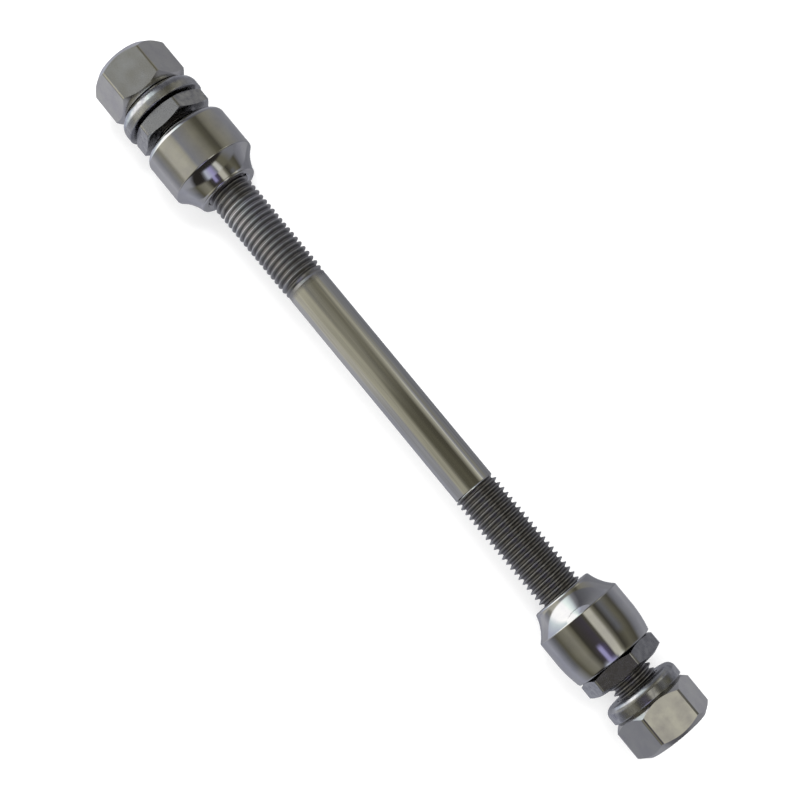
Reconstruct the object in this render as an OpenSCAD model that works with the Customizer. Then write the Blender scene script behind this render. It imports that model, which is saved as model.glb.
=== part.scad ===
// Front hub axle set: a threaded axle with, on each end, a bearing cone, a locknut, a thick washer
// and an axle nut. The axle lies along Y with its middle at the origin. Left is the -Y end, right
// is the +Y end, and +Z is the side seen in the view from above.

/* [Axle] */
// Length of the axle from end to end
axle_l = 146.8; // [138:0.1:170]
// Outside diameter of the thread, 5/16 inch
thread_d = 7.9375; // [7.6:0.0125:8.2]
// Threads per inch
thread_tpi = 24; // [20:1:28]
// Diameter of the plain shank between the two threads
shank_d = 7.5; // [6.6:0.05:7.55]
// Length of the thread on the right end, which stops in a crisp step
right_thread_l = 51.6; // [44:0.1:56]
// Length of full thread on the left end, up to where it starts to fade out
left_thread_l = 48.9; // [44:0.1:56]
// Length over which the left thread fades out into the shank
thread_fade_l = 2.2; // [1:0.1:4]
// Bevel on both ends of the axle
axle_bevel = 0.7; // [0.3:0.05:1.2]

/* [Bearing cones] */
// Length of a cone from its lip to its outer face
cone_l = 13.35; // [12.8:0.05:15]
// Largest diameter of a cone, 5/8 inch
cone_d = 15.875; // [15.2:0.025:17]
// Diameter of the small end, where the ball race begins
cone_lip_d = 11.1; // [10.6:0.1:12]
// Rounding of the small end's edge
cone_lip_round = 0.4; // [0.2:0.05:0.6]
// Length of the ball race, from the small end's edge to the full diameter
race_l = 3.8; // [3.2:0.1:4.6]
// Radius of the hollow that the balls run in
race_r = 8; // [5:0.5:14]
// Length over which the left cone rounds off at its outer end
left_crown_l = 1.7; // [1.5:0.1:3.5]
// How far the left cone's radius drops at its outer face
left_crown_drop = 1.6; // [0.8:0.1:1.8]
// Length over which the right cone narrows towards its outer end
right_crown_l = 5; // [3:0.1:6]
// How far the right cone's radius drops at its outer face
right_crown_drop = 0.65; // [0.3:0.05:1]

/* [Locknuts] */
// Width across the flats of a locknut
locknut_af = 13; // [12.4:0.1:14]
// Thickness of a locknut
locknut_t = 3.2; // [2.4:0.05:4]
// Radius at which a locknut's bevel meets its face towards the cone
locknut_inner_r = 6.5; // [6:0.05:6.6]
// Depth of that bevel at the corners
locknut_inner_l = 0.45; // [0.2:0.05:1]
// Radius at which a locknut's bevel meets its face towards the fork
locknut_outer_r = 5.9; // [5.7:0.05:6.5]
// Depth of that bevel at the corners
locknut_outer_l = 0.7; // [0.4:0.05:1]
// Turn of the left locknut about +Y from having a flat on top
left_locknut_turn = 9; // [-30:1:30]
// Turn of the right locknut about +Y from having a flat on top
right_locknut_turn = 11; // [-30:1:30]

/* [Washers] */
// Outside diameter of the left washer
left_washer_d = 15.3; // [13.4:0.1:16]
// Outside diameter of the right washer
right_washer_d = 13.7; // [13:0.1:16]
// Thickness of the left washer
left_washer_t = 3.2; // [2.4:0.05:4]
// Thickness of the right washer
right_washer_t = 2.75; // [2.4:0.05:4]
// Rounding of the one soft edge of the left washer
left_washer_round = 2; // [0.6:0.05:2.1]
// Rounding of the one soft edge of the right washer
right_washer_round = 1.3; // [0.6:0.05:2.1]
// Bevel on the other edges of a washer
washer_bevel = 0.2; // [0.1:0.05:0.4]

/* [Axle nuts] */
// Width across the flats of an axle nut
nut_af = 13.2; // [12.4:0.1:14]
// Turn of the left axle nut about +Y from having a flat on top
left_nut_turn = 1; // [-30:1:30]
// Turn of the right axle nut about +Y from having a flat on top
right_nut_turn = -8; // [-30:1:30]
// Length of the left axle nut
left_nut_l = 8.6; // [7.5:0.1:10]
// Length of the right axle nut
right_nut_l = 7.4; // [6:0.1:10]
// Radius at which the left nut's crown meets its outer face
left_nut_crown_r = 5.5; // [5:0.1:6.4]
// Depth of the left nut's crown at the corners
left_nut_crown_l = 1.7; // [0.8:0.1:3]
// Radius at which the right nut's crown meets its outer face
right_nut_crown_r = 5.8; // [5:0.1:6.4]
// Depth of the right nut's crown at the corners
right_nut_crown_l = 1.3; // [0.8:0.1:3]
// Radius at which a nut's inner bevel meets its seat
nut_seat_r = 6.2; // [5.6:0.05:6.5]
// Depth of a nut's inner bevel at the corners
nut_seat_l = 1.3; // [0.5:0.05:1.6]

/* [Places] */
// How far a nut's outer face stands past the end of the axle
nut_past_end = 0.2; // [-1:0.1:2]
// Bare thread between the left nut and its washer
left_nut_gap = 0.15; // [0.05:0.05:3]
// Bare thread between the right nut and its washer
right_nut_gap = 0.05; // [0.05:0.05:3]
// Gap between the left washer and the locknut, where a fork end goes
left_fork_gap = 0.1; // [0.05:0.05:6]
// Gap between the right washer and the locknut, where a fork end goes
right_fork_gap = 2.4; // [2.05:0.05:6]
// Gap between the left locknut and its cone
left_jam_gap = 1; // [0.05:0.05:2]
// Gap between the right locknut and its cone
right_jam_gap = 0.15; // [0.05:0.05:2]

/* [Fits] */
// Running clearance, on the radius, of the threaded bores on the thread
thread_play = 0.05; // [0.02:0.01:0.09]
// Loose clearance, on the radius, of the washers on the thread
washer_play = 0.25; // [0.15:0.05:0.5]
// Bevel at the mouths of the bores
mouth_bevel = 0.5; // [0.2:0.05:0.8]

/* [Hidden] */
$fn = 96;
left = -1;
right = 1;
thread_r = thread_d / 2;
shank_r = shank_d / 2;
bore_r = thread_r + thread_play;
washer_bore_r = thread_r + washer_play;
cone_r = cone_d / 2;
lip_r = cone_lip_d / 2;
step_bevel = thread_r - shank_r;
thread_pitch = 25.4 / thread_tpi;
thread_depth = 0.6134 * thread_pitch;
root_r = thread_r - thread_depth;
crest_w = thread_pitch / 8;
flank_w = thread_depth * tan(30);
arc_steps = 10;
cut_past = 1;

// Each piece's inner face, measured outwards from the middle of the axle
nut_outer_at = axle_l / 2 + nut_past_end;
left_nut_at = nut_outer_at - left_nut_l;
right_nut_at = nut_outer_at - right_nut_l;
left_washer_at = left_nut_at - left_nut_gap - left_washer_t;
right_washer_at = right_nut_at - right_nut_gap - right_washer_t;
left_locknut_at = left_washer_at - left_fork_gap - locknut_t;
right_locknut_at = right_washer_at - right_fork_gap - locknut_t;
left_cone_at = left_locknut_at - left_jam_gap - cone_l;
right_cone_at = right_locknut_at - right_jam_gap - cone_l;

// Points of an arc in the plane of a turned outline
function arc(centre, r, from, to) = [
    for (i = [0 : arc_steps])
        let (a = from + (to - from) * i / arc_steps)
        [centre[0] + r * cos(a), centre[1] + r * sin(a)]
];

// The hollow race sweeps from the small end's edge out to the full diameter: an arc of race_r
// through both ends, with its centre outside the cone
function race_points() =
    let (from = [lip_r, cone_lip_round], to = [cone_r, cone_lip_round + race_l])
    let (chord = norm(to - from), slope = atan2(to[1] - from[1], to[0] - from[0]))
    let (reach = sqrt(race_r * race_r - chord * chord / 4), half_sweep = asin(chord / 2 / race_r))
    let (centre = (from + to) / 2 + reach * [sin(slope), -cos(slope)])
    arc(centre, race_r, slope + 90 + half_sweep, slope + 90 - half_sweep);

// The crown bends away from the full diameter without an edge
function crown_points(crown_l, drop) = [
    for (i = [0 : arc_steps])
        let (u = i / arc_steps)
        [cone_r - drop * u * u, cone_l - crown_l * (1 - u)]
];

// Puts a piece, made with its inner face on z = 0 and its outer end up, on the axle
module on_axle(side, at) {
    translate([0, side * at, 0])
        rotate([-90 * side, 0, 0])
            children();
}

// A bore along z with a bevel at both mouths
module bore(r, length) {
    translate([0, 0, -cut_past])
        cylinder(r = r, h = length + 2 * cut_past);
    translate([0, 0, -cut_past])
        cylinder(r1 = r + mouth_bevel + cut_past, r2 = r, h = mouth_bevel + cut_past);
    translate([0, 0, length - mouth_bevel])
        cylinder(r1 = r, r2 = r + mouth_bevel + cut_past, h = mouth_bevel + cut_past);
}

// A six-sided nut body whose corners are turned off by a bevel at each end
module hex_body(af, length, inner_r, inner_l, outer_r, outer_l) {
    corner_r = af / 2 / cos(30);
    past = 1;
    inner_rise = inner_l / (corner_r - inner_r);
    outer_rise = outer_l / (corner_r - outer_r);
    intersection() {
        translate([0, 0, -cut_past])
            cylinder(r = corner_r, h = length + 2 * cut_past, $fn = 6);
        rotate_extrude()
            polygon([
                [0, 0],
                [inner_r, 0],
                [corner_r + past, inner_l + past * inner_rise],
                [corner_r + past, length - outer_l - past * outer_rise],
                [outer_r, length],
                [0, length]
            ]);
    }
}

// A thread's outline along the axle, measured outwards: one groove for each pitch, drawn as a ring
function grooves(from, to) = [
    for (i = [0 : floor((to - from - crest_w) / thread_pitch) - 1])
        let (at = from + crest_w + i * thread_pitch, next = at + thread_pitch - crest_w)
        each [[thread_r, at], [root_r, at + flank_w], [root_r, next - flank_w], [thread_r, next]]
];

function to_left(points) = [
    for (i = [len(points) - 1 : -1 : 0])
        [points[i][0], -points[i][1]]
];

// Axle with a thread at both ends and a plain shank between
module axle() {
    half = axle_l / 2;
    right_step = half - right_thread_l;
    left_step = half - left_thread_l;
    thread_end = half - axle_bevel;
    end_r = thread_r - axle_bevel;
    color("lightslategray")
        rotate([-90, 0, 0])
            rotate_extrude()
                polygon(concat(
                    [[0, -half], [end_r, -half], [thread_r, -thread_end]],
                    to_left(grooves(left_step, thread_end)),
                    [[thread_r, -left_step], [shank_r, thread_fade_l - left_step]],
                    [[shank_r, right_step - step_bevel], [thread_r, right_step]],
                    grooves(right_step, thread_end),
                    [[thread_r, thread_end], [end_r, half], [0, half]]
                ));
}

// Bearing cone: small end, hollow race, full body and crown, turned as one piece
module cone(crown_l, drop) {
    color("silver")
        difference() {
            rotate_extrude()
                polygon(concat(
                    [[0, 0]],
                    arc([lip_r - cone_lip_round, cone_lip_round], cone_lip_round, -90, 0),
                    race_points(),
                    crown_points(crown_l, drop),
                    [[0, cone_l]]
                ));
            bore(bore_r, cone_l);
        }
}

module left_cone() {
    on_axle(left, left_cone_at)
        cone(left_crown_l, left_crown_drop);
}

module right_cone() {
    on_axle(right, right_cone_at)
        cone(right_crown_l, right_crown_drop);
}

// Thin nut that jams against the cone
module locknut(turn) {
    color("gray")
        rotate([0, 0, turn])
            difference() {
                hex_body(locknut_af, locknut_t, locknut_inner_r, locknut_inner_l,
                    locknut_outer_r, locknut_outer_l);
                bore(bore_r, locknut_t);
            }
}

module left_locknut() {
    on_axle(left, left_locknut_at)
        locknut(left * left_locknut_turn);
}

module right_locknut() {
    on_axle(right, right_locknut_at)
        locknut(right * right_locknut_turn);
}

// Thick washer with its one soft edge at the upper end
module washer(d, t, soft) {
    r = d / 2;
    color("darkgray")
        difference() {
            rotate_extrude()
                polygon(concat(
                    [[0, 0], [r - washer_bevel, 0], [r, washer_bevel]],
                    arc([r - soft, t - soft], soft, 0, 90),
                    [[0, t]]
                ));
            translate([0, 0, -cut_past])
                cylinder(r = washer_bore_r, h = t + 2 * cut_past);
        }
}

module left_washer() {
    on_axle(left, left_washer_at)
        washer(left_washer_d, left_washer_t, left_washer_round);
}

// The right washer sits the other way round, with its soft edge inwards
module right_washer() {
    on_axle(left, -right_washer_at - right_washer_t)
        washer(right_washer_d, right_washer_t, right_washer_round);
}

// Axle nut with a bevelled seat inside and a crown outside
module axle_nut(length, crown_r, crown_l, turn) {
    color("gainsboro")
        rotate([0, 0, turn])
            difference() {
                hex_body(nut_af, length, nut_seat_r, nut_seat_l, crown_r, crown_l);
                bore(bore_r, length);
            }
}

module left_axle_nut() {
    on_axle(left, left_nut_at)
        axle_nut(left_nut_l, left_nut_crown_r, left_nut_crown_l, left * left_nut_turn);
}

module right_axle_nut() {
    on_axle(right, right_nut_at)
        axle_nut(right_nut_l, right_nut_crown_r, right_nut_crown_l, right * right_nut_turn);
}

axle();
left_cone();
right_cone();
left_locknut();
right_locknut();
left_washer();
right_washer();
left_axle_nut();
right_axle_nut();
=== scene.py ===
import bpy
import math
from mathutils import Matrix, Vector


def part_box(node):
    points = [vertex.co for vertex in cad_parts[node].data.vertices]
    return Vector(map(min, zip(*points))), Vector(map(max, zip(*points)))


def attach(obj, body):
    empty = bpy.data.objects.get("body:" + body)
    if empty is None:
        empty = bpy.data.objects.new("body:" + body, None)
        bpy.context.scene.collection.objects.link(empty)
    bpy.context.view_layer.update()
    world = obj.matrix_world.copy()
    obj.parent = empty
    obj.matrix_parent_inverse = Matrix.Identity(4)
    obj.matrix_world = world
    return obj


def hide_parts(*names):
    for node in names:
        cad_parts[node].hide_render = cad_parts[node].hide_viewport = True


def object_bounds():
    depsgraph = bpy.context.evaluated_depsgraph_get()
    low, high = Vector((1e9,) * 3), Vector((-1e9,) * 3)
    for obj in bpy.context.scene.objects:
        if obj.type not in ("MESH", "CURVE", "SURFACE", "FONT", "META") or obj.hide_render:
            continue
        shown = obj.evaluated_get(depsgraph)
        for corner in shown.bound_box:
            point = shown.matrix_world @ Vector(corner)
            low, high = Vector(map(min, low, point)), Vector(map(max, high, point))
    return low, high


# front hub axle set: threaded axle, bearing cones, locknuts, thick washers, axle nuts
# the axle lies along Y; lengths in the settings are in mm, meshes are in metres
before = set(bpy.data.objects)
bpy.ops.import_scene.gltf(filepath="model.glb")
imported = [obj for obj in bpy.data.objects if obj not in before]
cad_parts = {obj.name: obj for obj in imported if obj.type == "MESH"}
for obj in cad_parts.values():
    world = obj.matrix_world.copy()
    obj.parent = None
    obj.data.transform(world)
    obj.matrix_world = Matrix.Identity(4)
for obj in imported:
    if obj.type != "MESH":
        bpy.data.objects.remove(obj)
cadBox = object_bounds()

mm = 0.001
weld = 1e-7  # points nearer than this are one point (m)
left, right = -1, 1


def deselectAll():
    if bpy.context.mode != "OBJECT":
        bpy.ops.object.mode_set(mode="OBJECT")
    bpy.ops.object.select_all(action="DESELECT")


def pick(piece):
    deselectAll()
    bpy.context.view_layer.objects.active = piece
    piece.select_set(True)


def innerFace(node):
    # distance in mm from the axle's middle to the piece's inner face
    low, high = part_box(node)
    return (low.y if low.y + high.y > 0 else -high.y) / mm


def outerFace(node):
    low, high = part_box(node)
    return (high.y if low.y + high.y > 0 else -low.y) / mm


def widest(node):
    low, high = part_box(node)
    return (high.x - low.x) / 2 / mm


def applyModifier(piece, kind, **settings):
    pick(piece)
    modifier = piece.modifiers.new(kind.lower(), kind)
    for key, value in settings.items():
        setattr(modifier, key, value)
    bpy.ops.object.modifier_apply(modifier=modifier.name)


def cut(piece, tool, operation="DIFFERENCE"):
    applyModifier(piece, "BOOLEAN", object=tool, operation=operation, solver="EXACT")
    bpy.data.objects.remove(tool)


def softCorners(corners, steps=4):
    # corners are (radius, place, rounding); a rounded corner becomes a short curve
    outline = []
    for i, (r, s, rounding) in enumerate(corners):
        here = Vector((r, s))
        if rounding == 0:
            outline.append(here)
            continue
        before = Vector(corners[i - 1][:2]) - here
        after = Vector(corners[(i + 1) % len(corners)][:2]) - here
        reach = min(rounding, before.length * 0.45, after.length * 0.45)
        start = here + before.normalized() * reach
        end = here + after.normalized() * reach
        for k in range(steps + 1):
            u = k / steps
            outline.append(start * (1 - u) ** 2 + here * 2 * u * (1 - u) + end * u * u)
    return outline


def traceOutline(name, outline, closed=True):
    # one vertex, extruded from point to point in the XY plane, x being the radius
    deselectAll()
    bpy.ops.mesh.primitive_plane_add(size=mm, location=(0, 0, 0))
    piece = bpy.context.object
    piece.name = piece.data.name = name
    bpy.ops.object.mode_set(mode="EDIT")
    bpy.ops.mesh.select_all(action="SELECT")
    bpy.ops.mesh.merge(type="CENTER")
    bpy.ops.transform.translate(value=(outline[0][0] * mm, outline[0][1] * mm, 0))
    points = list(outline) + ([outline[0]] if closed else [])
    for here, there in zip(points, points[1:]):
        step = ((there[0] - here[0]) * mm, (there[1] - here[1]) * mm, 0)
        bpy.ops.mesh.extrude_vertices_move(TRANSFORM_OT_translate={"value": step})
    return piece


def tidyMesh():
    bpy.ops.mesh.select_all(action="SELECT")
    bpy.ops.mesh.remove_doubles(threshold=weld)
    bpy.ops.mesh.normals_make_consistent(inside=False)
    bpy.ops.object.mode_set(mode="OBJECT")


def turned(name, outline, sides=128, closed=True):
    # a piece off the lathe: its outline spun about the axle
    piece = traceOutline(name, outline, closed)
    bpy.ops.mesh.select_all(action="SELECT")
    bpy.ops.mesh.remove_doubles(threshold=weld)
    bpy.ops.mesh.select_all(action="SELECT")
    bpy.ops.mesh.spin(steps=sides, angle=2 * math.pi, center=(0, 0, 0), axis=(0, 1, 0))
    tidyMesh()
    return piece


def smooth(piece, degrees):
    pick(piece)
    bpy.ops.object.shade_smooth_by_angle(angle=math.radians(degrees))


def onSide(outline, side, at):
    # an outline measured outwards from a piece's inner face, put in its place on the axle
    return [(r, side * (at + s)) for r, s in outline]


threadForm = {
    "outerR": 7.9375 / 2,
    "pitch": 25.4 / 24,
    "depth": 0.649,
    "crestHalf": 0.085,
    "crestRound": 0.03,
    "rootHalf": 0.15,
    "rootRound": 0.05,
    "stepsPerTurn": 72,
    "spareTurns": 2,  # beyond each end, before the rod is cut to length
    "weld": 0.001,
    "play": 0.05,  # how much larger the inside threads are, on the radius
}


def threadedRod(name, start, end, grow=0.0, shape=None):
    # a right-hand thread, near enough 60 degrees, from start to end along the axle in mm
    form = threadForm
    pitch = form["pitch"]
    crest = form["outerR"] + grow
    root = crest - form["depth"]
    profile = [
        (crest, 0),
        (crest - form["crestRound"], form["crestHalf"]),
        (root + form["rootRound"], pitch / 2 - form["rootHalf"]),
        (root, pitch / 2),
        (root + form["rootRound"], pitch / 2 + form["rootHalf"]),
        (crest - form["crestRound"], pitch - form["crestHalf"]),
        (crest, pitch),
    ]
    first = math.floor(start / pitch) - form["spareTurns"]
    turns = math.ceil((end - start) / pitch) + 2 * form["spareTurns"]
    outline = [(r, y + first * pitch) for r, y in profile]
    rod = traceOutline(name, outline, closed=False)
    bpy.ops.object.mode_set(mode="OBJECT")
    applyModifier(rod, "SCREW", axis="Y", angle=2 * math.pi, screw_offset=pitch * mm,
                  iterations=turns, steps=form["stepsPerTurn"],
                  render_steps=form["stepsPerTurn"], use_merge_vertices=False)
    bpy.ops.object.mode_set(mode="EDIT")
    bpy.ops.mesh.select_all(action="SELECT")
    bpy.ops.mesh.remove_doubles(threshold=form["weld"] * mm)
    bpy.ops.object.mode_set(mode="OBJECT")
    if shape:
        for v in rod.data.vertices:
            r = math.hypot(v.co.x, v.co.z)
            k = shape(r / mm, v.co.y / mm) * mm / r
            v.co.x *= k
            v.co.z *= k
    bpy.ops.object.mode_set(mode="EDIT")
    for place, keepAbove in ((start, True), (end, False)):
        bpy.ops.mesh.select_all(action="SELECT")
        bpy.ops.mesh.bisect(plane_co=(0, place * mm, 0), plane_no=(0, 1, 0), use_fill=True,
                            threshold=weld, clear_inner=keepAbove, clear_outer=not keepAbove)
    tidyMesh()
    return rod


# axle
axleForm = {
    "shankR": 3.75,
    "fadeEnd": -22.3,
    "fadeStart": -24.5,
    "step": 21.8,
    "endBevel": 0.7,
    "underShank": 0.03,  # how far the faded thread lies under the shank's skin
    "overlap": 0.8,  # how far each thread goes on inside the shank
    "shankStart": -0.5,  # both measured from the end of the fade
    "shankFull": 0.3,
    "startUnder": 0.02,
}


def makeAxle():
    form = axleForm
    half = outerFace("axle")
    under = form["shankR"] - form["underShank"]

    def bevelled(r, y):
        return min(r, threadForm["outerR"] - form["endBevel"] + half - abs(y))

    def leftShape(r, y):
        fade = (y - form["fadeStart"]) / (form["fadeEnd"] - form["fadeStart"])
        fade = min(max(fade, 0), 1)
        return bevelled(r + (under - r) * fade, y)

    def rightShape(r, y):
        if y < form["step"]:
            return min(r, under)
        return bevelled(min(r, form["shankR"] + y - form["step"]), y)

    inside = form["overlap"]
    start = form["fadeEnd"] + form["shankStart"]
    axle = threadedRod("axleRod", -half, form["fadeEnd"] + inside, shape=leftShape)
    other = threadedRod("rightThread", form["step"] - inside, half, shape=rightShape)
    shank = turned("shank", [
        (0, start),
        (under - form["startUnder"], start),
        (form["shankR"], form["fadeEnd"] + form["shankFull"]),
        (form["shankR"], form["step"]),
        (0, form["step"]),
    ], sides=96, closed=False)
    cut(axle, shank, "UNION")
    cut(axle, other, "UNION")
    smooth(axle, 40)
    return axle


# bearing cones
coneForm = {
    "lipR": 5.55,
    "lipRound": 0.4,
    "raceL": 3.8,
    "raceR": 8.0,
    "shoulderRound": 0.22,
    "outerRound": 0.25,
    "mouth": 0.5,
    "mouthRound": 0.1,
    "boreR": threadForm["outerR"] + threadForm["play"],
    "lipSteps": 6,
    "raceSteps": 16,
    "crownSteps": 12,
    "left": {"crownL": 1.7, "crownDrop": 1.6},
    "right": {"crownL": 5.0, "crownDrop": 0.65},
}


def raceArc(full):
    # the hollow race: an arc from the small end to the full diameter, its centre outside the cone
    form = coneForm
    start = Vector((form["lipR"], form["lipRound"]))
    end = Vector((full, form["lipRound"] + form["raceL"]))
    chord = end - start
    reach = math.sqrt(form["raceR"] ** 2 - chord.length_squared / 4)
    centre = (start + end) / 2 + Vector((chord.y, -chord.x)).normalized() * reach
    fromAngle = math.atan2(start.y - centre.y, start.x - centre.x)
    toAngle = math.atan2(end.y - centre.y, end.x - centre.x)
    points = []
    for k in range(form["raceSteps"] + 1):
        a = fromAngle + (toAngle - fromAngle) * k / form["raceSteps"]
        x = centre.x + form["raceR"] * math.cos(a)
        y = centre.y + form["raceR"] * math.sin(a)
        points.append((x, y, 0))
    return points


def makeCone(node, side, end):
    form = coneForm
    at = innerFace(node)
    length = outerFace(node) - at
    full = widest(node)
    bore = form["boreR"]
    mouth = form["mouth"]
    soft = form["mouthRound"]
    race = raceArc(full)
    race[-1] = race[-1][:2] + (form["shoulderRound"],)
    crown = []
    for k in range(form["crownSteps"]):
        u = k / form["crownSteps"]
        crown.append((full - end["crownDrop"] * u * u, length - end["crownL"] * (1 - u), 0))
    lip = []
    for k in range(form["lipSteps"]):
        a = math.pi / 2 * k / form["lipSteps"]
        x = form["lipR"] - form["lipRound"] * (1 - math.sin(a))
        y = form["lipRound"] * (1 - math.cos(a))
        lip.append((x, y, 0))
    corners = [(bore, mouth, soft), (bore + mouth, 0, soft)] + lip + race + crown + [
        (full - end["crownDrop"], length, form["outerRound"]),
        (bore + mouth, length, soft), (bore, length - mouth, soft)]
    cone = turned(node + "_finished", onSide(softCorners(corners), side, at))
    smooth(cone, 32)
    applyModifier(cone, "WEIGHTED_NORMAL", keep_sharp=True)
    return cone


# thick washers, each with its soft edge towards the -Y side
washerForm = {
    "left_washer": 2.0,  # how far each soft edge is rounded
    "right_washer": 1.3,
    "edge": 0.2,
    "play": 0.25,
    "softSteps": 8,
}


def makeWasher(node):
    form = washerForm
    low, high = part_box(node)
    start = low.y / mm
    end = high.y / mm
    r = widest(node)
    soft = form[node]
    bore = threadForm["outerR"] + form["play"]
    corners = [(bore, start, form["edge"]), (r - soft, start, 0)]
    for k in range(1, form["softSteps"] + 1):
        a = math.pi / 2 * k / form["softSteps"]
        corners.append((r - soft * (1 - math.sin(a)), start + soft * (1 - math.cos(a)), 0))
    corners += [(r, end, form["edge"]), (bore, end, form["edge"])]
    washer = turned(node + "_finished", softCorners(corners), sides=112)
    smooth(washer, 32)
    applyModifier(washer, "WEIGHTED_NORMAL", keep_sharp=True)
    return washer


# six-sided nuts
nutForm = {
    "minorR": 3.42,
    "mouth": 0.55,
    "edge": 0.38,
    "past": 1.0,  # how far the tools reach beyond the nut
    "left_locknut": {
        "flats": 13, "turn": 9, "innerR": 6.5, "innerL": 0.45, "outerR": 5.9, "outerL": 0.7},
    "right_locknut": {
        "flats": 13, "turn": 11, "innerR": 6.5, "innerL": 0.45, "outerR": 5.9, "outerL": 0.7},
    "left_axle_nut": {
        "flats": 13.2, "turn": 1, "innerR": 6.2, "innerL": 1.3, "outerR": 5.5, "outerL": 1.7},
    "right_axle_nut": {
        "flats": 13.2, "turn": -8, "innerR": 6.2, "innerL": 1.3, "outerR": 5.8, "outerL": 1.3},
}


def makeNut(node, side):
    form = nutForm[node]
    at = innerFace(node)
    length = outerFace(node) - at
    cornerR = form["flats"] / 2 / math.cos(math.radians(30))
    past = nutForm["past"]
    innerRise = form["innerL"] / (cornerR - form["innerR"])
    outerRise = form["outerL"] / (cornerR - form["outerR"])
    deselectAll()
    bpy.ops.mesh.primitive_cylinder_add(
        vertices=6, radius=cornerR * mm, depth=(length + 4 * past) * mm,
        location=(0, side * (at + length / 2) * mm, 0),
        rotation=(math.pi / 2, math.radians(30 + form["turn"]), 0))
    nut = bpy.context.object
    nut.name = nut.data.name = node + "_finished"
    bpy.ops.object.transform_apply(location=True, rotation=True, scale=True)
    applyModifier(nut, "BEVEL", width=nutForm["edge"] * mm, segments=5, limit_method="ANGLE",
                  angle_limit=math.radians(30))
    blank = turned("blank", onSide([
        (0, 0), (form["innerR"], 0), (cornerR + past, form["innerL"] + past * innerRise),
        (cornerR + past, length - form["outerL"] - past * outerRise), (form["outerR"], length), (0, length)],
        side, at), sides=96, closed=False)
    cut(nut, blank, "INTERSECT")
    mouthR = threadForm["outerR"] + threadForm["play"] + nutForm["mouth"]
    drillR = nutForm["minorR"]
    fall = mouthR - drillR
    drill = turned("drill", onSide([
        (0, -past), (mouthR + past, -past), (drillR, fall), (drillR, length - fall),
        (mouthR + past, length + past), (0, length + past)], side, at), sides=96, closed=False)
    cut(nut, drill)
    ends = sorted((side * (at - past), side * (at + length + past)))
    cut(nut, threadedRod("tap", ends[0], ends[1], grow=threadForm["play"]))
    smooth(nut, 30)
    applyModifier(nut, "WEIGHTED_NORMAL", keep_sharp=True)
    return nut


pieces = {"axle": makeAxle()}
print("axle made")
pieces["left_cone"] = makeCone("left_cone", left, coneForm["left"])
pieces["right_cone"] = makeCone("right_cone", right, coneForm["right"])
print("cones turned")
for node in ("left_washer", "right_washer"):
    pieces[node] = makeWasher(node)
print("washers turned")
for node, side in (("left_locknut", left), ("right_locknut", right),
                   ("left_axle_nut", left), ("right_axle_nut", right)):
    pieces[node] = makeNut(node, side)
print("nuts cut and tapped")


# materials
def linearColor(code):
    # sRGB hex to linear
    channels = [int(code[i:i + 2], 16) / 255 for i in (1, 3, 5)]
    return [c / 12.92 if c <= 0.04045 else ((c + 0.055) / 1.055) ** 2.4 for c in channels] + [1.0]


def addNode(tree, kind, inputs=None, **settings):
    node = tree.nodes.new(kind)
    for key, value in settings.items():
        setattr(node, key, value)
    for key, value in (inputs or {}).items():
        if isinstance(value, bpy.types.NodeSocket):
            tree.links.new(value, node.inputs[key])
        else:
            node.inputs[key].default_value = value
    return node


def newMaterial(name):
    material = bpy.data.materials.new(name)
    material.use_nodes = True
    tree = material.node_tree
    shader = tree.nodes["Principled BSDF"]
    shader.inputs["Metallic"].default_value = 1.0
    return material, tree, shader


def clouded(tree, shader, place, form):
    # soft patches in the metal that shift its tone and its gloss
    low, high = form["noise"]
    noise = addNode(tree, "ShaderNodeTexNoise", {
        "Vector": place, "Scale": 1 / (form["patch"] * mm), "Detail": 3.0}).outputs["Fac"]
    shift = addNode(tree, "ShaderNodeMapRange", {"Value": noise, "From Min": low, "From Max": high})
    tone = addNode(tree, "ShaderNodeMix", {
        0: shift.outputs["Result"], 6: linearColor(form["tones"][0]), 7: linearColor(form["tones"][1])},
        data_type="RGBA").outputs[2]
    gloss = addNode(tree, "ShaderNodeMapRange", {
        "Value": noise, "From Min": low, "From Max": high,
        "To Min": form["gloss"][0], "To Max": form["gloss"][1]}).outputs["Result"]
    tree.links.new(tone, shader.inputs["Base Color"])
    tree.links.new(gloss, shader.inputs["Roughness"])
    return tone, gloss


def rippled(tree, shader, place, form):
    # low ripples that bend the reflections a little
    noise = addNode(tree, "ShaderNodeTexNoise", {
        "Vector": place, "Scale": 1 / (form["ripple"] * mm), "Detail": form["rippleDetail"]})
    bump = addNode(tree, "ShaderNodeBump", {
        "Height": noise.outputs["Fac"], "Distance": form["depth"] * mm, "Strength": 1.0})
    tree.links.new(bump.outputs["Normal"], shader.inputs["Normal"])


def lathePlace(tree, place):
    # distance from the axle's middle line, and place along it: a pattern on these runs round the piece
    axes = addNode(tree, "ShaderNodeSeparateXYZ", {"Vector": place})
    flat = addNode(tree, "ShaderNodeCombineXYZ", {"X": axes.outputs["X"], "Z": axes.outputs["Z"]})
    reach = addNode(tree, "ShaderNodeVectorMath", {0: flat.outputs[0]}, operation="LENGTH").outputs["Value"]
    return reach, axes.outputs["Y"]


# in all four: patches and ripples in mm, and the stretch of the noise that they use
chromeForm = {
    "patch": 3.0, "noise": (0.3, 0.7), "tones": ("#cdccc9", "#bfbec0"), "gloss": (0.05, 0.12),
    "ripple": 0.35, "rippleDetail": 3.0, "depth": 0.0006,
}


def polishedChrome():
    # chrome plate over turned steel: mirror bright, with faint rings from the polishing wheel
    material, tree, shader = newMaterial("polished_chrome")
    place = addNode(tree, "ShaderNodeTexCoord").outputs["Object"]
    reach, along = lathePlace(tree, place)
    rings = addNode(tree, "ShaderNodeCombineXYZ", {"X": reach, "Y": along}).outputs[0]
    clouded(tree, shader, place, chromeForm)
    rippled(tree, shader, rings, chromeForm)
    return material


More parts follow.
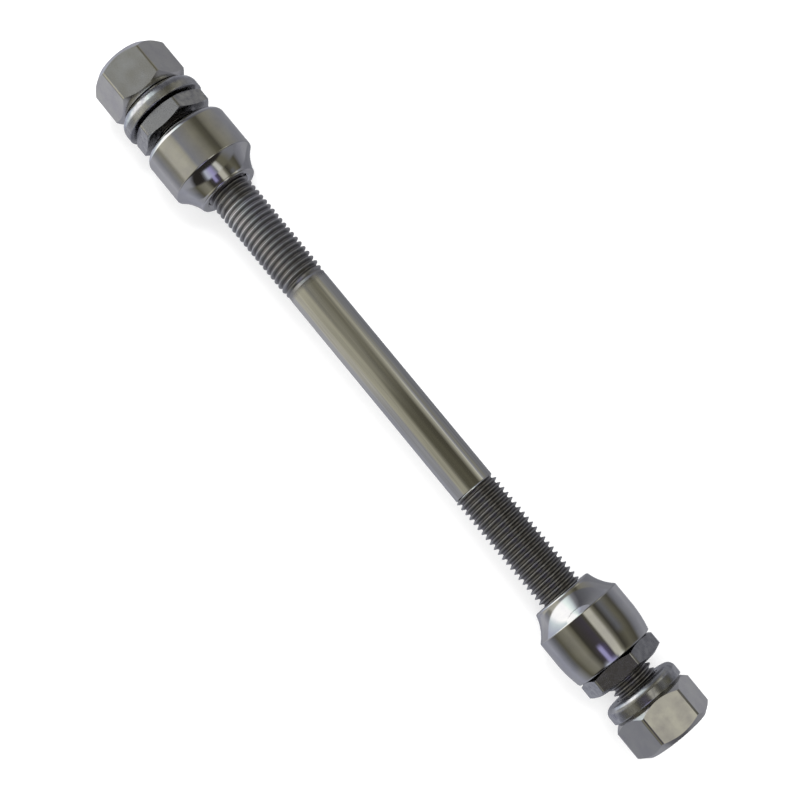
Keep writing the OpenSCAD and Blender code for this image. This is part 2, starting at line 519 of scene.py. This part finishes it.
nickelForm = {
    "patch": 2.4, "noise": (0.3, 0.7), "tones": ("#cccbc5", "#c1bfbf"), "gloss": (0.12, 0.24),
    "ripple": 1.4, "rippleDetail": 2.0, "depth": 0.003,
}


def brightNickel():
    # nickel plate on a drawn six-sided bar: glossy, cloudy, with small ripples in the flats
    material, tree, shader = newMaterial("bright_nickel")
    place = addNode(tree, "ShaderNodeTexCoord").outputs["Object"]
    clouded(tree, shader, place, nickelForm)
    rippled(tree, shader, place, nickelForm)
    return material


zincForm = {
    "patch": 0.9, "noise": (0.3, 0.7), "tones": ("#c6c6c5", "#a3a3a8"), "gloss": (0.16, 0.3),
    "ripple": 0.8, "rippleDetail": 2.0, "depth": 0.003,
}


def dullZinc():
    # zinc plate: greyer and softer than the nickel, slightly blotched
    material, tree, shader = newMaterial("dull_zinc")
    place = addNode(tree, "ShaderNodeTexCoord").outputs["Object"]
    clouded(tree, shader, place, zincForm)
    rippled(tree, shader, place, zincForm)
    return material


steelForm = {
    "patch": 0.5, "noise": (0.3, 0.7), "tones": ("#cfcec8", "#b9b8b5"), "gloss": (0.07, 0.16),
    "ripple": 0.5, "rippleDetail": 3.0, "depth": 0.0012,
    "drawnOut": 0.03,  # patches this much stretched along the axle are fine lines
    "crest": "#b2b1b1",
    # painted shade: this darker tone is laid into the thread grooves, towards their root, where shade falls
    "grooveShade": "#858383",
    "grooveShadeR": (3.4, 3.95),  # all painted groove shade, and none
    "threadFrom": (21.6, 22.4),  # all shank, and all thread, from the axle's middle
    "threadGloss": 0.2,  # added to the shank's
}


def steelWithGrooveShade():
    # bright drawn steel: fine lines along the shank; the rolled threads are duller, and painted shade /
    # darkens their grooves
    form = steelForm
    material, tree, shader = newMaterial("steel_groove_shade")
    place = addNode(tree, "ShaderNodeTexCoord").outputs["Object"]
    reach, along = lathePlace(tree, place)
    stretch = addNode(tree, "ShaderNodeMapping", {"Vector": place, "Scale": (1, form["drawnOut"], 1)})
    steel, bright = clouded(tree, shader, stretch.outputs[0], form)
    rippled(tree, shader, stretch.outputs[0], form)
    away = addNode(tree, "ShaderNodeMath", {0: along}, operation="ABSOLUTE")
    thread = addNode(tree, "ShaderNodeMapRange", {
        "Value": away.outputs[0], "From Min": form["threadFrom"][0] * mm,
        "From Max": form["threadFrom"][1] * mm}).outputs["Result"]
    # painted shade: the colour darkens towards the thread root
    groove = addNode(tree, "ShaderNodeMapRange", {
        "Value": reach, "From Min": form["grooveShadeR"][0] * mm, "From Max": form["grooveShadeR"][1] * mm,
        "To Min": 1.0, "To Max": 0.0})
    rolled = addNode(tree, "ShaderNodeMix", {
        0: groove.outputs["Result"], 6: linearColor(form["crest"]), 7: linearColor(form["grooveShade"])},
        data_type="RGBA")
    tone = addNode(tree, "ShaderNodeMix", {0: thread, 6: steel, 7: rolled.outputs[2]}, data_type="RGBA")
    tree.links.new(tone.outputs[2], shader.inputs["Base Color"])
    dull = addNode(tree, "ShaderNodeMath", {0: thread, 1: form["threadGloss"]}, operation="MULTIPLY")
    both = addNode(tree, "ShaderNodeMath", {0: bright, 1: dull.outputs[0]}, operation="ADD")
    tree.links.new(both.outputs[0], shader.inputs["Roughness"])
    return material


finish = {
    "axle": steelWithGrooveShade(),
    "cone": polishedChrome(),
    "locknut": dullZinc(),
    "washer": dullZinc(),
    "axle_nut": brightNickel(),
}
for node, piece in pieces.items():
    kind = node.replace("left_", "").replace("right_", "")
    piece.data.materials.clear()
    piece.data.materials.append(finish[kind])
    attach(piece, node)
    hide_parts(node)
print("finishes set")


# stage: pale floor, a reflection tent, lamps and the camera
stageForm = {
    # in m
    "floorSize": 1.8,
    "floorDrop": 0.0002,
    "tentR": 0.6,
    "tentHalf": 2.4,
    # levels
    "floorTone": 0.86,
    "floorLift": 0.16,  # what the camera sees of the floor beyond its own light, which makes it white
    "glow": 1.7,
    "worldLevel": 0.75,
}

# the boards that stand round the axle, warm ones, cool ones, two violet ones and three near white
boardColors = {
    "soot": "#262422", "umber": "#34322c", "moss": "#434138", "olive": "#4e4c41", "khaki": "#5b594d",
    "taupe": "#69675c", "putty": "#76746a", "sand": "#8a887c", "linen": "#969487", "straw": "#a09e93",
    "ivory": "#aba99f", "bone": "#b8b8b2", "ink": "#3c383f", "graphite": "#4b4b50", "lead": "#5b5c60",
    "pewter": "#6b6c72", "zinc": "#75767b", "steel": "#85868c", "mist": "#8f919b", "fog": "#9b9ca2",
    "haze": "#a5aab8", "plum": "#4c4660", "lilac": "#8f8bb2", "frost": "#c8d2d5", "snow": "#e8f4f1",
    "white": "#ffffff",
}
# how they stand, seen only in the metal: (degrees from straight up towards +X, board)
boards = {
    "leftDark": [
        (-180, "pewter"), (-100, "lead"), (-60, "ink"), (70, "umber"), (105, "pewter"), (135, "mist"),
        (180, "pewter")],
    "rightRace": [
        (-180, "mist"), (-120, "zinc"), (-70, "lead"), (-40, "graphite"), (-22, "zinc"), (-6, "frost"),
        (10, "snow"), (24, "white"), (80, "white"), (100, "frost"), (130, "haze"), (180, "mist")],
    "card": [
        (-180, "mist"), (-100, "steel"), (-66, "mist"), (-44, "mist"), (-26, "haze"), (-4, "frost"),
        (14, "snow"), (28, "white"), (80, "white"), (100, "frost"), (130, "haze"), (180, "mist")],
    "left": [
        (-180, "zinc"), (-120, "zinc"), (-75, "putty"), (-62, "taupe"), (-52, "moss"), (-40, "olive"),
        (-28, "taupe"), (-16, "putty"), (18, "zinc"), (28, "linen"), (40, "straw"), (66, "straw"),
        (76, "putty"), (96, "zinc"), (118, "fog"), (180, "zinc")],
    "shankLeft": [
        (-180, "pewter"), (-110, "pewter"), (-82, "zinc"), (-72, "sand"), (-66, "straw"), (-60, "linen"),
        (-48, "putty"), (-38, "taupe"), (-24, "taupe"), (-8, "putty"), (14, "putty"), (24, "sand"),
        (34, "linen"), (60, "linen"), (72, "ivory"), (97, "ivory"), (112, "fog"), (130, "fog"),
        (180, "pewter")],
    "middle": [
        (-180, "pewter"), (-110, "pewter"), (-82, "zinc"), (-72, "steel"), (-66, "bone"), (-60, "straw"),
        (-48, "putty"), (-38, "moss"), (-24, "moss"), (-8, "olive"), (14, "olive"), (24, "taupe"),
        (34, "sand"), (60, "linen"), (72, "steel"), (100, "steel"), (130, "mist"), (180, "pewter")],
    "right": [
        (-180, "zinc"), (-128, "steel"), (-100, "pewter"), (-86, "moss"), (-72, "khaki"), (-56, "lead"),
        (-42, "umber"), (-33, "taupe"), (-26, "ivory"), (-12, "ivory"), (-7, "moss"), (2, "ink"),
        (30, "umber"), (36, "khaki"), (48, "putty"), (66, "taupe"), (80, "olive"), (92, "lead"),
        (118, "mist"), (180, "zinc")],
    "leftRace": [
        (-180, "zinc"), (-90, "pewter"), (-60, "khaki"), (-38, "khaki"), (-28, "bone"), (-18, "bone"),
        (-12, "pewter"), (4, "lilac"), (26, "haze"), (36, "lead"), (44, "soot"), (76, "soot"),
        (92, "steel"), (130, "mist"), (180, "zinc")],
    "rightEnd": [
        (-180, "zinc"), (-128, "steel"), (-100, "pewter"), (-86, "moss"), (-64, "khaki"), (-42, "umber"),
        (-33, "taupe"), (-26, "ivory"), (-12, "ivory"), (-7, "ink"), (3, "plum"), (8, "lilac"),
        (14, "lilac"), (19, "ink"), (30, "umber"), (48, "putty"), (66, "taupe"), (80, "olive"),
        (118, "mist"), (180, "zinc")],
    "rightDark": [
        (-180, "graphite"), (-100, "ink"), (-60, "soot"), (70, "soot"), (105, "graphite"),
        (180, "graphite")],
}
# where each set of boards begins along the axle, and over what length it takes over (m)
tentZones = [
    {"boards": "leftDark"},
    {"boards": "rightRace", "from": -2.0, "blend": 0.1},
    {"boards": "left", "from": -0.38, "blend": 0.04},
    {"boards": "shankLeft", "from": -0.2, "blend": 0.05},
    {"boards": "middle", "from": -0.1, "blend": 0.05},
    {"boards": "right", "from": 0.045, "blend": 0.04},
    {"boards": "rightEnd", "from": 0.19, "blend": 0.08},
    {"boards": "leftRace", "from": 0.4, "blend": 0.1},
    {"boards": "rightDark", "from": 1.05, "blend": 0.3},
]
# a round card across the axle, seen from the right, that gives the right cone's race its white patch (mm)
cardForm = {"at": -40.5, "radius": 30, "boards": "card"}


def makeFloor():
    deselectAll()
    low = cadBox[0].z - stageForm["floorDrop"]
    bpy.ops.mesh.primitive_plane_add(size=stageForm["floorSize"], location=(0, 0, low))
    floor = bpy.context.object
    floor.name = "floor"
    material = bpy.data.materials.new("pale_floor")
    material.use_nodes = True
    tree = material.node_tree
    shader = tree.nodes["Principled BSDF"]
    shader.inputs["Base Color"].default_value = [stageForm["floorTone"]] * 3 + [1]
    shader.inputs["Roughness"].default_value = 0.9
    shader.inputs["Specular IOR Level"].default_value = 0.0
    rays = addNode(tree, "ShaderNodeLightPath")
    lift = addNode(tree, "ShaderNodeMath", {
        0: rays.outputs["Is Camera Ray"], 1: stageForm["floorLift"]}, operation="MULTIPLY")
    tree.links.new(lift.outputs[0], shader.inputs["Emission Strength"])
    shader.inputs["Emission Color"].default_value = (1, 1, 1, 1)
    floor.data.materials.append(material)
    floor.visible_glossy = False


def boardAngle(tree):
    # place along the axle, and the angle about it as a part of a full turn
    place = addNode(tree, "ShaderNodeTexCoord").outputs["Object"]
    axes = addNode(tree, "ShaderNodeSeparateXYZ", {"Vector": place})
    angle = addNode(tree, "ShaderNodeMath", {
        0: axes.outputs["X"], 1: axes.outputs["Z"]}, operation="ARCTAN2")
    turn = addNode(tree, "ShaderNodeMapRange", {
        "Value": angle.outputs[0], "From Min": -math.pi, "From Max": math.pi})
    return axes.outputs["Y"], turn.outputs["Result"]


def boardTones(tree, turn, name):
    ramp = addNode(tree, "ShaderNodeValToRGB", {"Fac": turn})
    stops = ramp.color_ramp.elements
    while len(stops) < len(boards[name]):
        stops.new(0.5)
    for stop, (degrees, board) in zip(stops, boards[name]):
        stop.position = (degrees + 180) / 360
        stop.color = linearColor(boardColors[board])
    return ramp.outputs["Color"]


def onlyInMetal(thing):
    thing.visible_camera = False
    thing.visible_diffuse = False
    thing.visible_shadow = False
    thing.visible_transmission = False
    thing.visible_volume_scatter = False


def makeTent():
    deselectAll()
    bpy.ops.mesh.primitive_cylinder_add(
        vertices=96, radius=stageForm["tentR"], depth=2 * stageForm["tentHalf"],
        rotation=(math.pi / 2, 0, 0))
    tent = bpy.context.object
    tent.name = "tent"
    bpy.ops.object.transform_apply(location=True, rotation=True, scale=True)
    material = bpy.data.materials.new("tent_boards")
    material.use_nodes = True
    tree = material.node_tree
    tree.nodes.clear()
    along, turn = boardAngle(tree)
    tone = boardTones(tree, turn, tentZones[0]["boards"])
    for zone in tentZones[1:]:
        part = addNode(tree, "ShaderNodeMapRange", {
            "Value": along, "From Min": zone["from"] - zone["blend"] / 2,
            "From Max": zone["from"] + zone["blend"] / 2}, interpolation_type="SMOOTHSTEP")
        change = addNode(tree, "ShaderNodeMix", {
            0: part.outputs["Result"], 6: tone, 7: boardTones(tree, turn, zone["boards"])},
            data_type="RGBA")
        tone = change.outputs[2]
    glow = addNode(tree, "ShaderNodeEmission", {"Color": tone, "Strength": stageForm["glow"]})
    addNode(tree, "ShaderNodeOutputMaterial", {"Surface": glow.outputs[0]})
    tent.data.materials.append(material)
    onlyInMetal(tent)


def makeCard():
    deselectAll()
    bpy.ops.mesh.primitive_circle_add(
        vertices=64, radius=cardForm["radius"] * mm, fill_type="NGON",
        location=(0, cardForm["at"] * mm, 0), rotation=(-math.pi / 2, 0, 0))
    card = bpy.context.object
    card.name = "card"
    bpy.ops.object.transform_apply(location=True, rotation=True, scale=True)
    material = bpy.data.materials.new("card_boards")
    material.use_nodes = True
    tree = material.node_tree
    tree.nodes.clear()
    turn = boardAngle(tree)[1]
    glow = addNode(tree, "ShaderNodeEmission", {
        "Color": boardTones(tree, turn, cardForm["boards"]), "Strength": stageForm["glow"]})
    clear = addNode(tree, "ShaderNodeBsdfTransparent")
    back = addNode(tree, "ShaderNodeNewGeometry").outputs["Backfacing"]
    mix = addNode(tree, "ShaderNodeMixShader", {0: back, 1: glow.outputs[0], 2: clear.outputs[0]})
    addNode(tree, "ShaderNodeOutputMaterial", {"Surface": mix.outputs[0]})
    card.data.materials.append(material)
    onlyInMetal(card)


# soft lamps: place and size in m, power in W
lampForm = {
    "keyLamp": {"place": (-0.35, -0.2, 0.7), "size": 0.5, "power": 5.0},
    "fillLamp": {"place": (0.45, 0.3, 0.6), "size": 0.6, "power": 3.5},
}


def makeLamps():
    for name, form in lampForm.items():
        data = bpy.data.lights.new(name, "AREA")
        data.shape = "SQUARE"
        data.size = form["size"]
        data.energy = form["power"]
        lamp = bpy.data.objects.new(name, data)
        bpy.context.scene.collection.objects.link(lamp)
        lamp.location = form["place"]
        lamp.rotation_euler = Vector(form["place"]).to_track_quat("Z", "Y").to_euler()
        lamp.visible_glossy = False


def makeWorld():
    # white to the camera and in the metal, a little dimmer as light
    world = bpy.data.worlds.new("studio")
    bpy.context.scene.world = world
    world.use_nodes = True
    tree = world.node_tree
    tree.nodes.clear()
    rays = addNode(tree, "ShaderNodeLightPath")
    seen = rays.outputs["Is Camera Ray"]
    for kind in ("Is Glossy Ray", "Is Transmission Ray"):
        either = addNode(tree, "ShaderNodeMath", {0: seen, 1: rays.outputs[kind]}, operation="MAXIMUM")
        seen = either.outputs[0]
    level = addNode(tree, "ShaderNodeMapRange", {"Value": seen, "To Min": stageForm["worldLevel"]})
    back = addNode(tree, "ShaderNodeBackground", {
        "Color": (1, 1, 1, 1), "Strength": level.outputs["Result"]})
    addNode(tree, "ShaderNodeOutputWorld", {"Surface": back.outputs[0]})


cameraForm = {
    "aim": 2.55,  # mm along the axle from its middle
    "across": 0.2,
    "distance": 274.7,
    "lean": 7.46,  # degrees by which the right end comes towards the camera
    "slant": -50.49,  # degrees of the axle in the picture
    "pixelsPerMm": 5.970,  # at the aim point
    "pictureWidth": 800,
    "sensor": 36,
}


def makeCamera():
    form = cameraForm
    lean = math.radians(form["lean"])
    slant = math.radians(form["slant"])
    back = Vector((0, math.sin(lean), math.cos(lean)))
    along = Vector((0, math.cos(lean), -math.sin(lean)))
    across = back.cross(along)
    side = along * math.cos(slant) - across * math.sin(slant)
    up = along * math.sin(slant) + across * math.cos(slant)
    data = bpy.data.cameras.new("camera")
    data.sensor_width = form["sensor"]
    data.lens = form["pixelsPerMm"] * form["distance"] / form["pictureWidth"] * form["sensor"]
    data.clip_start = 0.01
    data.clip_end = 50
    camera = bpy.data.objects.new("camera", data)
    bpy.context.scene.collection.objects.link(camera)
    place = Vector((form["across"] * mm, form["aim"] * mm, 0)) + back * form["distance"] * mm
    turnTo = Matrix((side, up, back)).transposed().to_4x4()
    camera.matrix_world = Matrix.Translation(place) @ turnTo
    bpy.context.scene.camera = camera


makeFloor()
makeTent()
makeCard()
makeLamps()
makeWorld()
makeCamera()
bpy.context.scene.view_settings.view_transform = "Standard"
print("stage set")
